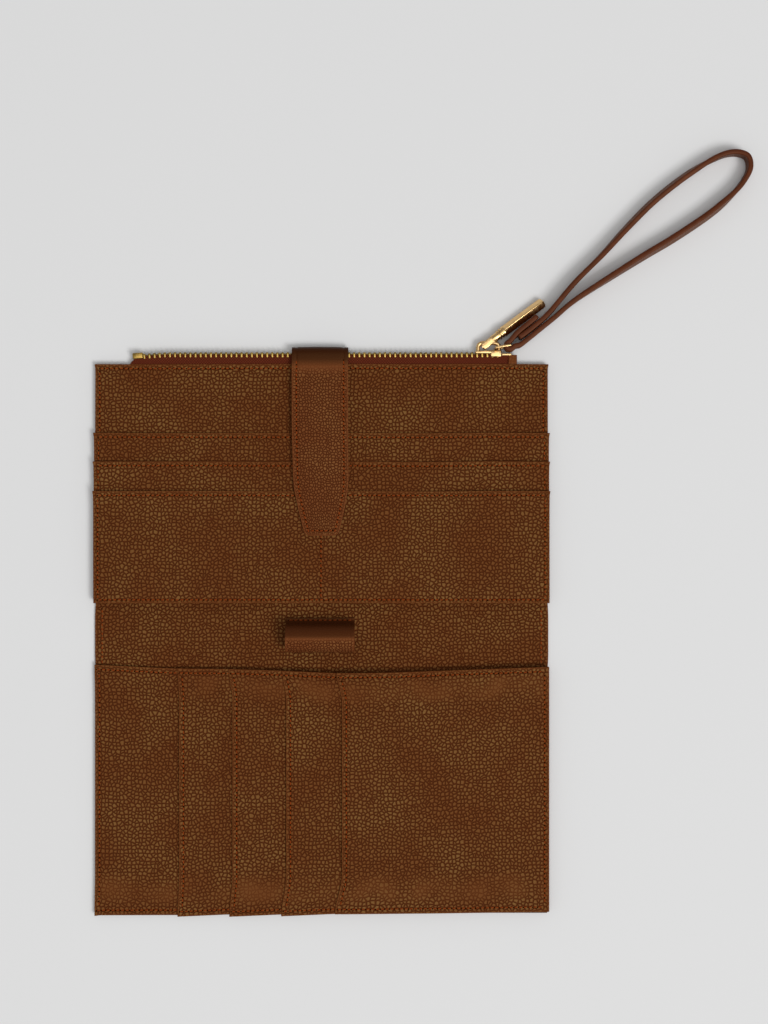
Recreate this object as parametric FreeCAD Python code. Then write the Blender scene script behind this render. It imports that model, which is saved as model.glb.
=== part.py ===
import FreeCAD, Part
import math
import os
from FreeCAD import Vector

# A leather travel document organizer, lying open on a table with its inside up.
# Millimetres. X runs along the folds, +Y points from the fold to the zipped edge, +Z is up.
# The origin is on the table, at the middle of the card half. Every leather piece is flat
# stock laid in a stack, so each layer is given as a low and a high z.

# ---- driving dimensions -------------------------------------------------------------------
HALF_W = 110.7                  # half of the wallet's width
ZIP_EDGE_Y = 58.5               # cover's edge under the zip
FOLD_1_Y = -60.0                # fold between card half and spine
SPINE = 29.3                    # width of the spine, which sets the closed thickness
FOLD_2_Y = FOLD_1_Y - SPINE
END_Y = -210.5                  # free edge of the passport half
COVER = 1.2                     # cover leather
BOARD = 0.6                     # stiffener board
LINING = 0.4
POCKET = 0.6                    # one turned pocket layer
GAP = 0.1                       # air between two pocket layers
CORNER_R = 1.5                  # wallet's outer corners
FOLD_GAP = 0.05                 # half of the clear line at each fold
BOARD_INSET = 2.5               # from the cover's edge to the stiffener
LINING_ROOM = 0.02              # air round a piece held between two others

# heights of the card half's layers
BOARD_TOP = COVER + BOARD
ZIP_POCKET_Z = (BOARD_TOP + LINING, BOARD_TOP + 2 * LINING)
PANEL = 0.8                     # a full panel with its turned edge
CARD_BACK_Z = (ZIP_POCKET_Z[1] + LINING, ZIP_POCKET_Z[1] + LINING + PANEL)
CARD_HEMS_Y = (24.8, 10.8, -3.6)
CARD_END_Y = -58.4
CARD_STEP = 0.5                 # how far the card pockets stand out past the cover
UPPER_BOARD_Y = (-57.0, 49.5)
ZIP_LINING_Y = (-57.5, 58.3)

# heights of the passport half's layers
PASS_LINING_TOP = BOARD_TOP + LINING
BOARDING_Z = (PASS_LINING_TOP + 0.2, PASS_LINING_TOP + 0.2 + PANEL)
PASS_MOUTH_Y = FOLD_2_Y - 1.7
PASS_LINING_UP = 0.9            # how far the lining stands above the pocket's mouth
PASS_EDGES_X = (-70.2, -44.7, -18.8, 9.0)

# zip
CHAIN_Z = 3.9                   # middle plane of the chain
CHAIN_HALF = 1.65
CHAIN_TOP_Y = 63.9
CHAIN_LOW_Y = 62.6
CHAIN_X = (-86.5, 87.6)
TOOTH_PITCH = 2.5
TOOTH_W = 1.35
TAPE_X = (-93.6, 93.0)
TAPE_IN_Y, TAPE_BEND_Y, TAPE_OUT_Y = 54.0, 58.6, 62.5
TAPE_OUT_Z = ((2.9, 3.4), (3.9, 4.4))           # ends of the back and front tapes
STOP_LEFT = ((-92.4, -87.3), 64.0, 1.9, 0.4)    # x range, top y, half height, edge radius
STOP_RIGHT = ((88.1, 92.8), 63.6, 1.7, 0.3)
END_TAB_X, END_TAB_Y, END_TAB_Z, END_TAB_R = 95.6, 62.9, (2.4, 5.2), 0.9

# closure strap, which turns round the zip and lies on the card half
STRAP_X = (-14.4, 13.1)
STRAP_T = 1.6
BEND_R = 2.3                    # inside radius of the turn round the zip
BEND_Y, BEND_Z = 63.0, BEND_R + STRAP_T
RISER = 28.4                    # from the turn's centre to the strap's second bend
TONGUE_BEND_Y = BEND_Y - RISER
TONGUE_IN_Z = BEND_Z + BEND_R
TONGUE_LENGTH = 60.0
TONGUE_TAPER = 21.3             # length of the tapered end
TONGUE_TIP = 16.6               # width of the blunt tip
TONGUE_TIP_R = 3.0
ROOT_IN_Y = 50.0                # how far the strap's root reaches in over the cover
MAGNET_R, MAGNET_T = 5.0, 1.0
MAGNET_AT = 46.0                # along the tongue
MATE_R = 8.0

# pen loop
PEN_R = 6.0
PEN_WALL = 0.9
PEN_X = (-17.4, 16.2)
PEN_Y = -75.3
PEN_FLANGE_Y = -65.7
SPINE_LINING_Z = (COVER + 0.05, COVER + 0.5)

# slider, puller and ring
SLIDER_X = (75.0, 87.9)
SLIDER_LOW_Y, SLIDER_TOP_Y = 61.9, 64.9
SLIDER_WALL = 1.05              # thickness of each flange
SLIDER_ROOM = 0.2               # air between the teeth and a flange
BRIDGE_X = (76.4, 86.8)         # middles of the bridge's two legs
BRIDGE_Y = 68.1                 # middle of the bridge's bar
BRIDGE_T = 1.3
BRIDGE_HALF_Z = 0.8
LEG_Y = 66.3                    # where the ring hangs on the right leg
PULL_X = 80.6                   # where the puller hangs on the bar
PULL_DEG = 36.6
EYE_R = 0.5
EYE_REACH = 2.15
LUG_ROOM, LUG_T = 0.4, 0.9
HEAD_LENGTH, HEAD_HALF = 0.9, 1.0
NECK_R, RIB_R, STEP_R = 1.35, 2.1, 1.7
RIB_LENGTH = 1.2
BAR_SIDE = 3.8
BAR_ROLL = 38.0
BAR_CHAMFER = 0.7
NECK_FROM, NECK_TO = 3.8, 9.4
BAR_FROM, BAR_TO = 11.2, 34.8
RING_WIRE = 1.2
RING_NEAR = 1.75                # from the leg to the ring's near rod
RING_DEG = 9.2
RING_LENGTH = 6.9
RING_Z = (0.65, 11.05)          # middles of the ring's lower and upper rods

# wrist strap, a flat strap standing on its edge
WRIST_T = 2.2
WRIST_LINING_T = 0.9
WRIST_Z = (1.55, 10.15)
WRIST_DEG = 39.6                # direction the strap leaves the ring in
WRIST_EYE_R = 0.75              # inside radius of the turn round the ring's far rod
WRIST_LOOP = (
    (98.9, 69.0), (106.0, 75.6), (123.6, 90.0), (140.9, 100.7), (158.2, 111.5),
    (172.3, 119.9), (189.8, 131.7), (200.9, 141.4), (206.6, 148.4), (209.2, 154.5),
    (207.3, 159.6), (199.9, 160.7), (190.2, 156.6), (177.1, 148.2), (162.6, 137.0),
    (149.6, 124.5), (136.6, 111.1), (123.6, 98.0), (111.9, 85.2), (106.0, 78.9),
    (101.0, 74.1), (96.4, 70.4),
)
WRIST_TAB = (
    (95.0, 72.4), (99.4, 76.3), (103.0, 79.2),
)


# ---- helpers -------------------------------------------------------------------------------
def box(x, y, z):
    """A block from three (low, high) pairs."""
    low = Vector(min(x), min(y), min(z))
    return Part.makeBox(max(x) - min(x), max(y) - min(y), max(z) - min(z), low)


def sheet(x, y, z, radius=CORNER_R):
    """A flat panel with its four corners rounded."""
    solid = box(x, y, z)
    upright = [e for e in solid.Edges if abs(e.tangentAt(e.FirstParameter).z) > 0.99]
    return solid.makeFillet(radius, upright)


def prism(points, start, end, axis):
    """A closed outline extruded along X or Z. Points are the two other coordinates."""
    if axis == "x":
        corners = [Vector(start, a, b) for a, b in points]
        along = Vector(end - start, 0, 0)
    else:
        corners = [Vector(a, b, start) for a, b in points]
        along = Vector(0, 0, end - start)
    return Part.Face(Part.makePolygon(corners + corners[:1])).extrude(along)


def rod(start, end, radius):
    along = end - start
    return Part.makeCylinder(radius, along.Length, start, along)


def join(first, *others):
    return first.fuse(list(others)).removeSplitter()


def save(node, shape):
    shape.exportStep(os.path.join("parts", node + ".step"))


# ---- a band that follows a route in plan ----------------------------------------------------
def rounded(points, ease=0.45):
    """Straight runs and tangent arcs along a route: (start, end) and (start, end, centre, turn)."""
    route = [Vector(x, y, 0) for x, y in points]
    pieces = []
    at = route[0]
    for before, corner, after in zip(route, route[1:], route[2:]):
        into = (corner - before).normalize()
        out = (after - corner).normalize()
        turn = math.atan2(into.cross(out).z, into.dot(out))
        cut = ease * min((corner - before).Length, (after - corner).Length)
        radius = cut / math.tan(abs(turn) / 2)
        side = Vector(-into.y, into.x, 0) * math.copysign(radius, turn)
        start = corner - into * cut
        end = corner + out * cut
        pieces.append((at, start, None, 0.0))
        pieces.append((start, end, start + side, turn))
        at = end
    pieces.append((at, route[-1], None, 0.0))
    return pieces


def shifted(pieces, offset):
    """The route's runs and arcs again, moved to the left by offset."""
    edges = []
    for start, end, centre, turn in pieces:
        if centre is None:
            way = (end - start).normalize()
            side = Vector(-way.y, way.x, 0) * offset
            edges.append(Part.LineSegment(start + side, end + side).toShape())
            continue
        radius = (start - centre).Length
        grown = (radius - math.copysign(1, turn) * offset) / radius
        ends = [centre + (p - centre) * grown for p in (start, end)]
        middle = centre + ((start + end) / 2 - centre).normalize() * radius * grown
        edges.append(Part.Arc(ends[0], middle, ends[1]).toShape())
    return edges


def band(pieces, low, high, z):
    """A flat strap on its edge: the ground between two offsets of a route, extruded in z."""
    left = shifted(pieces, high)
    right = shifted(pieces, low)
    first = Part.LineSegment(right[0].Vertexes[0].Point, left[0].Vertexes[0].Point)
    last = Part.LineSegment(left[-1].Vertexes[-1].Point, right[-1].Vertexes[-1].Point)
    outline = Part.Wire([*left, last.toShape(), *reversed(right), first.toShape()])
    solid = Part.Face(outline).extrude(Vector(0, 0, z[1] - z[0]))
    solid.translate(Vector(0, 0, z[0]))
    return solid


# ---- card half -----------------------------------------------------------------------------
def card_half():
    wide = (-HALF_W, HALF_W)
    inside = (-HALF_W + BOARD_INSET, HALF_W - BOARD_INSET)
    tall = (FOLD_1_Y + FOLD_GAP, ZIP_EDGE_Y)
    save("cover_upper", sheet(wide, tall, (0, COVER)))
    save("stiffener_upper", sheet(inside, UPPER_BOARD_Y, (COVER, BOARD_TOP)))
    save("zip_pocket_lining_back", sheet(wide, ZIP_LINING_Y, (BOARD_TOP, ZIP_POCKET_Z[0])))
    front = (ZIP_POCKET_Z[1], CARD_BACK_Z[0])
    save("zip_pocket_lining_front", sheet(wide, ZIP_LINING_Y, front))
    save("card_back_panel", sheet(wide, (CARD_END_Y, ZIP_EDGE_Y), CARD_BACK_Z))
    step = (-HALF_W - CARD_STEP, HALF_W + CARD_STEP)
    for i, hem in enumerate(CARD_HEMS_Y):
        low = CARD_BACK_Z[1] + GAP + i * (POCKET + GAP)
        save(f"card_pocket_{i + 1}", sheet(step, (CARD_END_Y, hem), (low, low + POCKET)))


# ---- zip -----------------------------------------------------------------------------------
def tooth_row(side):
    """One row of teeth on its cord; the two rows stand half a pitch apart."""
    shift = 0.0 if side < 0 else TOOTH_PITCH / 2
    count = int((CHAIN_X[1] - CHAIN_X[0] - shift) / TOOTH_PITCH)
    neck_y = CHAIN_LOW_Y + 0.5
    outline = [(CHAIN_X[0], CHAIN_LOW_Y), (CHAIN_X[0], neck_y)]
    for i in range(count):
        x = CHAIN_X[0] + shift + 0.4 + i * TOOTH_PITCH
        outline += [(x, neck_y), (x, CHAIN_TOP_Y), (x + TOOTH_W, CHAIN_TOP_Y), (x + TOOTH_W, neck_y)]
    outline += [(CHAIN_X[1], neck_y), (CHAIN_X[1], CHAIN_LOW_Y)]
    near = CHAIN_Z + side * 0.05
    far = CHAIN_Z + side * CHAIN_HALF
    return prism(outline, min(near, far), max(near, far), "z")


def stop(x, top_y, half_height, edge_radius):
    """A pressed stop at one end of the chain."""
    block = box(x, (CHAIN_LOW_Y - 0.05, top_y), (CHAIN_Z - half_height, CHAIN_Z + half_height))
    return block.makeFillet(edge_radius, block.Edges)


def zip_fastener():
    low, high = ZIP_POCKET_Z
    middle = (low + high) / 2
    (back_low, back_high), (front_low, front_high) = TAPE_OUT_Z
    back_top, front_base = middle - LINING_ROOM, middle + LINING_ROOM
    back = [(TAPE_IN_Y, low), (TAPE_BEND_Y, low), (TAPE_OUT_Y, back_low), (TAPE_OUT_Y, back_high),
            (TAPE_BEND_Y, back_top), (TAPE_IN_Y, back_top)]
    front = [(TAPE_IN_Y, front_base), (TAPE_BEND_Y, front_base), (TAPE_OUT_Y, front_low),
             (TAPE_OUT_Y, front_high), (TAPE_BEND_Y, high), (TAPE_IN_Y, high)]
    save("zip_tape_back", prism(back, *TAPE_X, "x"))
    save("zip_tape_front", prism(front, *TAPE_X, "x"))
    save("zip_teeth_back", tooth_row(-1))
    save("zip_teeth_front", tooth_row(1))
    save("zip_stop_left", stop(*STOP_LEFT))
    save("zip_stop_right", stop(*STOP_RIGHT))
    tab = box((TAPE_X[1] + 0.05, END_TAB_X), (ZIP_EDGE_Y + 0.05, END_TAB_Y), END_TAB_Z)
    save("zip_end_tab", tab.makeFillet(END_TAB_R, tab.Edges))


# ---- closure strap -------------------------------------------------------------------------
def strap_arc(inner, outer):
    """The part of the strap's turn that lifts with the strap: a quarter ring over the zip."""
    start = Vector(STRAP_X[0], BEND_Y, BEND_Z)
    length = STRAP_X[1] - STRAP_X[0]
    ring = Part.makeCylinder(outer, length, start, Vector(1, 0, 0))
    ring = ring.cut(Part.makeCylinder(inner, length, start, Vector(1, 0, 0)))
    return ring.common(box(STRAP_X, (BEND_Y, BEND_Y + 10), (BEND_Z, BEND_Z + 10)))


def strap_layer(inner_z, outer_z, low_y, high_y):
    return box(STRAP_X, (low_y, high_y), (inner_z, outer_z))


def tongue_layer(inner_z, outer_z):
    """The strap's free end: straight, then tapered to a blunt tip with small round corners."""
    top = TONGUE_BEND_Y - FOLD_GAP
    tip = TONGUE_BEND_Y - TONGUE_LENGTH
    middle = sum(STRAP_X) / 2
    outline = [
        (STRAP_X[0], top), (STRAP_X[1], top), (STRAP_X[1], tip + TONGUE_TAPER),
        (middle + TONGUE_TIP / 2, tip), (middle - TONGUE_TIP / 2, tip),
        (STRAP_X[0], tip + TONGUE_TAPER),
    ]
    solid = prism(outline, inner_z, outer_z, "z")
    corners = [
        e for e in solid.Edges
        if abs(e.tangentAt(e.FirstParameter).z) > 0.99 and e.CenterOfMass.y < tip + 1
    ]
    return solid.makeFillet(TONGUE_TIP_R, corners)


def closure_strap():
    x0, x1 = STRAP_X
    edge = ZIP_EDGE_Y + 0.1
    seat, ceiling = COVER + LINING_ROOM, BOARD_TOP - LINING_ROOM
    root = [(BEND_Y, 0.0), (BEND_Y, STRAP_T), (edge, STRAP_T), (edge, ceiling),
            (ROOT_IN_Y, ceiling), (ROOT_IN_Y, seat), (edge, seat), (edge, 0.0)]
    save("closure_strap_root", prism(root, x0, x1, "x"))
    middle_z = TONGUE_IN_Z + STRAP_T / 2
    outer_z = TONGUE_IN_Z + STRAP_T
    lining = join(
        strap_arc(BEND_R, BEND_R + STRAP_T / 2),
        strap_layer(TONGUE_IN_Z, middle_z, TONGUE_BEND_Y, BEND_Y),
    )
    outer = join(
        strap_arc(BEND_R + STRAP_T / 2, BEND_R + STRAP_T),
        strap_layer(middle_z, outer_z, TONGUE_BEND_Y, BEND_Y),
    )
    save("closure_strap_lining", lining)
    save("closure_strap_outer", outer)
    at = Vector(sum(STRAP_X) / 2, TONGUE_BEND_Y - MAGNET_AT, middle_z - MAGNET_T / 2)
    magnet = Part.makeCylinder(MAGNET_R, MAGNET_T, at)
    pocket = Part.makeCylinder(MAGNET_R + 0.05, MAGNET_T + 0.02, at - Vector(0, 0, 0.01))
    save("closure_tongue_lining", tongue_layer(TONGUE_IN_Z, middle_z).cut(pocket))
    save("closure_tongue_outer", tongue_layer(middle_z, outer_z).cut(pocket))
    save("closure_magnet", magnet)


# ---- spine ---------------------------------------------------------------------------------
def spine():
    wide = (-HALF_W + 0.7, HALF_W - 0.7)
    low, high = FOLD_2_Y + FOLD_GAP, FOLD_1_Y - FOLD_GAP
    save("cover_spine", box(wide, (low, high), (0, COVER)))
    save("spine_lining", box(wide, (low + 0.5, high - 0.5), SPINE_LINING_Z))
    base = SPINE_LINING_Z[1] + 0.02
    centre = Vector(PEN_X[0], PEN_Y, base + PEN_WALL + PEN_R)
    length = PEN_X[1] - PEN_X[0]
    along = Vector(1, 0, 0)
    tube = Part.makeCylinder(PEN_R + PEN_WALL, length, centre, along)
    flange = box(PEN_X, (PEN_Y, PEN_FLANGE_Y), (base, base + PEN_WALL))
    hole = Part.makeCylinder(PEN_R, length + 2, centre - along, along)
    save("pen_loop", join(tube, flange).cut(hole))


# ---- passport half -------------------------------------------------------------------------
def passport_half():
    wide = (-HALF_W, HALF_W)
    inside = (-HALF_W + BOARD_INSET, HALF_W - BOARD_INSET)
    save("cover_lower", sheet(wide, (END_Y, FOLD_2_Y - FOLD_GAP), (0, COVER)))
    closed_y = BEND_Y + BEND_R - MAGNET_AT
    mate_y = FOLD_2_Y - (closed_y - FOLD_1_Y)
    mate = Part.makeCylinder(MATE_R, BOARD, Vector(sum(STRAP_X) / 2, mate_y, COVER))
    hole = Part.makeCylinder(MATE_R + 0.1, BOARD, Vector(sum(STRAP_X) / 2, mate_y, COVER))
    board = sheet(inside, (END_Y + BOARD_INSET, PASS_MOUTH_Y - BOARD_INSET), (COVER, BOARD_TOP))
    save("stiffener_lower", board.cut(hole))
    save("closure_plate", mate)
    tall = (END_Y, PASS_MOUTH_Y)
    behind = (END_Y, PASS_MOUTH_Y + PASS_LINING_UP)
    save("passport_lining", sheet(wide, behind, (BOARD_TOP, PASS_LINING_TOP)))
    save("boarding_pass_pocket", sheet(wide, tall, BOARDING_Z))
    for i, left in enumerate(PASS_EDGES_X):
        low = BOARDING_Z[1] + GAP + i * (POCKET + GAP)
        panel = sheet((left, HALF_W), tall, (low, low + POCKET))
        save(f"passport_pocket_{i + 1}", panel)


# ---- slider, puller and ring ---------------------------------------------------------------
def slider():
    """A plate over the teeth, with a flange down each side, and the bridge on top."""
    x = SLIDER_X
    half = CHAIN_HALF + SLIDER_ROOM + SLIDER_WALL
    body = box(x, (CHAIN_TOP_Y + 0.1, SLIDER_TOP_Y), (CHAIN_Z - half, CHAIN_Z + half))
    for side in (-1, 1):
        near = CHAIN_Z + side * (CHAIN_HALF + SLIDER_ROOM)
        far = CHAIN_Z + side * half
        body = body.fuse(box(x, (SLIDER_LOW_Y, SLIDER_TOP_Y), (near, far)))
    body = body.removeSplitter()
    ends = [
        e for e in body.Edges
        if abs(e.tangentAt(e.FirstParameter).y) > 0.99 and abs(e.CenterOfMass.z - CHAIN_Z) > half - 0.1
    ]
    save("slider_body", body.makeFillet(0.7, ends))
    z = (CHAIN_Z - BRIDGE_HALF_Z, CHAIN_Z + BRIDGE_HALF_Z)
    half_t = BRIDGE_T / 2
    legs = [box((m - half_t, m + half_t), (SLIDER_TOP_Y, BRIDGE_Y), z) for m in BRIDGE_X]
    bar = box((BRIDGE_X[0] - half_t, BRIDGE_X[1] + half_t), (BRIDGE_Y - half_t, BRIDGE_Y + half_t), z)
    arch = join(bar, *legs)
    shoulders = [
        e for e in arch.Edges
        if abs(e.tangentAt(e.FirstParameter).z) > 0.99 and e.CenterOfMass.y > BRIDGE_Y + 0.5
    ]
    save("slider_bridge", arch.makeFillet(1.1, shoulders))


def along_puller(shape, roll=0.0):
    """Takes a shape built along +X from the origin to the puller's place on the bridge."""
    shape.rotate(Vector(0, 0, 0), Vector(1, 0, 0), roll)
    shape.rotate(Vector(0, 0, 0), Vector(0, 0, 1), PULL_DEG)
    shape.translate(Vector(PULL_X, BRIDGE_Y, CHAIN_Z))
    return shape


def puller():
    lug = (BRIDGE_HALF_Z + LUG_ROOM, BRIDGE_HALF_Z + LUG_ROOM + LUG_T)
    eye = rod(Vector(-EYE_REACH, 0, -lug[1]), Vector(-EYE_REACH, 0, lug[1]), EYE_R)
    for side in (-1, 1):
        eye = eye.fuse(box((-EYE_REACH, NECK_FROM), (-EYE_R, EYE_R), (side * lug[0], side * lug[1])))
    head = box((NECK_FROM - HEAD_LENGTH, NECK_FROM), (-HEAD_HALF, HEAD_HALF), (-lug[1], lug[1]))
    save("puller_eye", along_puller(eye.fuse(head).removeSplitter()))
    along = Vector(1, 0, 0)
    rib_end = NECK_TO + RIB_LENGTH
    neck = Part.makeCylinder(NECK_R, NECK_TO - NECK_FROM, Vector(NECK_FROM, 0, 0), along)
    rib = Part.makeCylinder(RIB_R, RIB_LENGTH, Vector(NECK_TO, 0, 0), along)
    step = Part.makeCylinder(STEP_R, BAR_FROM - rib_end, Vector(rib_end, 0, 0), along)
    collar = join(neck, rib, step)
    save("puller_collar", along_puller(collar))
    half = BAR_SIDE / 2
    bar = box((BAR_FROM, BAR_TO), (-half, half), (-half, half))
    ends = [e for e in bar.Edges if e.CenterOfMass.x > BAR_TO - 0.1]
    save("puller_bar", along_puller(bar.makeChamfer(BAR_CHAMFER, ends), BAR_ROLL))


def ring_points():
    way = Vector(math.cos(math.radians(RING_DEG)), math.sin(math.radians(RING_DEG)), 0)
    near = Vector(BRIDGE_X[1], LEG_Y, 0) - way * RING_NEAR
    return near, near + way * RING_LENGTH


def wrist_ring():
    near, far = ring_points()
    corners = [Vector(p.x, p.y, z) for p, z in
               ((near, RING_Z[0]), (far, RING_Z[0]), (far, RING_Z[1]), (near, RING_Z[1]))]
    radius = RING_WIRE / 2
    rods = [rod(a, b, radius) for a, b in zip(corners, corners[1:] + corners[:1])]
    balls = [Part.makeSphere(radius, c) for c in corners]
    save("wrist_ring", join(rods[0], *rods[1:], *balls))


# ---- wrist strap ---------------------------------------------------------------------------
def wrist_strap():
    """One strap: a short tab, a turn round the ring's far rod, and the long loop back again."""
    _, rod_at = ring_points()
    radius = WRIST_EYE_R + WRIST_T / 2
    lean = math.radians(WRIST_DEG)
    turn_out = Vector(math.sin(lean), -math.cos(lean), 0) * radius
    start = rod_at - turn_out
    end = rod_at + turn_out
    back = rod_at - Vector(math.cos(lean), math.sin(lean), 0) * radius
    lead = Vector(math.cos(lean), math.sin(lean), 0) * 2.0
    tab = rounded([*reversed(WRIST_TAB), (start + lead)[:2], start[:2]])
    loop = rounded([end[:2], (end + lead)[:2], *WRIST_LOOP])
    eye = [(start, back, rod_at, math.pi / 2), (back, end, rod_at, math.pi / 2)]
    route = tab + eye + loop
    half = WRIST_T / 2
    split = half - WRIST_LINING_T
    save("wrist_strap_outer", band(route, -half, split, WRIST_Z))
    save("wrist_strap_lining", band(route, split, half, WRIST_Z))
    runs = [(b - a).Length if c is None else abs(t) * (a - c).Length for a, b, c, t in route]
    print("wrist strap centreline", round(sum(runs), 1), "mm")


def main():
    os.makedirs("parts", exist_ok=True)
    card_half()
    zip_fastener()
    closure_strap()
    spine()
    passport_half()
    slider()
    puller()
    wrist_ring()
    wrist_strap()


main()
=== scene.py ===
# %% [markdown]
# # An open leather travel wallet
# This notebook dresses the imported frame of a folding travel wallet: pebbled leather panels with stitched
# pockets, a brass zip along one edge, a magnetic strap, and a wrist strap on a small gold ring.
# The frame already holds every part at its place, so each step below only has to make one part look real.

# %% Load the frame
import bpy
import math
from mathutils import Matrix, Vector, noise


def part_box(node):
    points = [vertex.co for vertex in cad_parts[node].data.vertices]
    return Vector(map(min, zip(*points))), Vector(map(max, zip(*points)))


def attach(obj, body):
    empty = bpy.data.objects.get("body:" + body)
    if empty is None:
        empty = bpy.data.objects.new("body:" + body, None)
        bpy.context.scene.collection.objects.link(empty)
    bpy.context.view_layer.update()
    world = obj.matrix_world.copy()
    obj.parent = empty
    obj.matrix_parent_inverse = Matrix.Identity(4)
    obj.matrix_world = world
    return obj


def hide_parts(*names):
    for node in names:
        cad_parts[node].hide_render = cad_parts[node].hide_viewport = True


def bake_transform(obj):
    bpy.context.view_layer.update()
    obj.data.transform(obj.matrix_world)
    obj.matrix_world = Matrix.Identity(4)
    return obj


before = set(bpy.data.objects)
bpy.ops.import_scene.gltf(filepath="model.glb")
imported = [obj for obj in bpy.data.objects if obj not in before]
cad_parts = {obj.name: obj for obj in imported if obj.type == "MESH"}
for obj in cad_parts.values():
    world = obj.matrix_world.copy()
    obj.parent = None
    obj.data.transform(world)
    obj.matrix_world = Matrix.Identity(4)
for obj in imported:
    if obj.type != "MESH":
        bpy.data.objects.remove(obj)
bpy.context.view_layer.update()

MM = 0.001


def deselect_all():
    """An operator acts on everything that is selected, so each step starts with nothing selected."""
    bpy.ops.object.select_all(action="DESELECT")


def pick(piece):
    """Selects one piece and makes it the active one."""
    deselect_all()
    piece.select_set(True)
    bpy.context.view_layer.objects.active = piece


def apply_modifiers(piece):
    pick(piece)
    for name in [modifier.name for modifier in piece.modifiers]:
        bpy.ops.object.modifier_apply(modifier=name)


# %% [markdown]
# ## The camera
# The wallet is seen from straight above, as it lies open on a table. A long lens nearly a metre up keeps
# the panels square: a short one close by would make the near edges lean outwards.

# %% Hang the camera over the wallet
CAMERA_AT = Vector((30.56, -13.87, 954.0)) * MM
camera_data = bpy.data.cameras.new("overhead_camera")
camera_data.sensor_width = 36.0
camera_data.lens = 68.3
camera_data.clip_start = 0.05
camera_data.clip_end = 20.0
camera = bpy.data.objects.new("overhead_camera", camera_data)
camera.location = CAMERA_AT
bpy.context.collection.objects.link(camera)
bpy.context.scene.camera = camera
print("the camera looks straight down from", round(CAMERA_AT.z, 3), "m")

# %% [markdown]
# ## Where the lines are
# A wallet is a set of flat sheets with rows of stitching a constant distance inside their edges. These are
# the sheets' edges and seams in millimetres, in the frame's own axes: X along the folds, Y towards the zip.

# %% Edges and seams
HALF_WIDTH = 110.7
ZIP_EDGE = 58.5
UPPER_FOLD = -60.0
LOWER_FOLD = -89.3
SPINE_MIDDLE = -74.65
LOWER_END = -210.5
SEAM_IN = 2.2                   # from an edge to its stitching
STITCH_PITCH = 2.35
CARD_HEMS = (24.8, 10.8, -3.6)
CARD_END = -58.4


def smooth(value, low, high):
    """0 below low, 1 above high, and an easy curve between."""
    share = min(1.0, max(0.0, (value - low) / (high - low)))
    return share * share * (3 - 2 * share)


def through(points, x):
    """The height at x of an easy curve through the points."""
    for (x0, y0), (x1, y1) in zip(points, points[1:]):
        if x <= x1 or (x1, y1) == points[-1]:
            share = (x - x0) / (x1 - x0)
            return y0 + (y1 - y0) * share
    return points[-1][1]


MOUTH_POINTS = ((-112.0, -88.5), (-90.0, -89.6), (-70.7, -90.5), (-45.2, -90.7), (-19.3, -91.5), (7.6, -92.7),
                (32.0, -92.5), (74.1, -90.9), (112.0, -89.6))


def mouth(x):
    """The edge of the boarding pass pocket, which sags a little in the middle."""
    return sum(through(MOUTH_POINTS, x + shift) for shift in (-6, -3, 0, 3, 6)) / 5


print("the mouth sags", round(mouth(-110) - mouth(15), 2), "mm")

# %% [markdown]
# ## Materials
# One function turns a hex colour into the linear numbers that a shader needs, and one adds a node with its
# settings and links. Everything else is a chain of those two, so a material reads like a recipe.

# %% Colour and nodes


def colour(hex_code):
    """An sRGB hex colour as linear red, green, blue and alpha."""
    parts = [int(hex_code[start:start + 2], 16) / 255 for start in (1, 3, 5)]
    return (*[part / 12.92 if part <= 0.04045 else ((part + 0.055) / 1.055) ** 2.4 for part in parts], 1.0)


def add_node(tree, kind, links=(), **settings):
    """Adds a node. Settings that start with a capital letter or in_ are sockets, the others are properties."""
    made = tree.nodes.new(kind)
    for name, value in settings.items():
        if name.startswith("in_"):
            made.inputs[int(name[3:])].default_value = value
        elif name[0].isupper():
            made.inputs[name.replace("_", " ")].default_value = value
        else:
            setattr(made, name, value)
    for socket, source in dict(links).items():
        tree.links.new(source, made.inputs[socket])
    return made


def new_material(name, **sockets):
    """A material whose only shader is a Principled one, and its node tree."""
    material = bpy.data.materials.new(name)
    material.use_nodes = True
    tree = material.node_tree
    shader = tree.nodes["Principled BSDF"]
    for socket, value in sockets.items():
        shader.inputs[socket.replace("_", " ")].default_value = value
    return material, tree, shader


def mix_colour(tree, factor, first, second):
    """Mixes two colours, each a hex code or another node's output, by a node's output."""
    made = add_node(tree, "ShaderNodeMix", {0: factor}, data_type="RGBA")
    for socket, value in ((6, first), (7, second)):
        if isinstance(value, str):
            made.inputs[socket].default_value = colour(value)
        else:
            tree.links.new(value, made.inputs[socket])
    return made.outputs[2]


def add_bump(tree, shader, links, **settings):
    """Adds relief to a shader. Distance is how high the relief is."""
    bump = add_node(tree, "ShaderNodeBump", links, **settings)
    tree.links.new(bump.outputs[0], shader.inputs["Normal"])


def clouded(name, scale, detail, dark, light, **sockets):
    """A material whose colour drifts between two, with its node tree, its shader, its place and its cloud."""
    material, tree, shader = new_material(name, **sockets)
    place = add_node(tree, "ShaderNodeTexCoord").outputs["Object"]
    cloud = add_node(tree, "ShaderNodeTexNoise", {"Vector": place}, Scale=scale, Detail=detail)
    tree.links.new(mix_colour(tree, cloud.outputs["Fac"], dark, light), shader.inputs["Base Color"])
    return material, tree, shader, place, cloud.outputs["Fac"]


# %% [markdown]
# ## Pebbled leather
# The panels are split leather with a pebble grain pressed into a coloured finish: rounded beads about two
# millimetres across with creases between them, painted darker as shade. A painted picture of it would blur close
# up, but a cell pattern at the real bead size stays sharp at any distance. Distance to the nearest cell edge gives
# the creases, a little noise bends the cells, and the bead tops are given a lighter ochre, a painted highlight
# that comes and goes in random patches. Where a sheet's own map of flattening and shade goes from 0 to 1, the
# grain is flattened; from 1 to 2, the leather is also darkened with painted shade, where it turns away from the
# light.

# %% Pebbled leather


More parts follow.
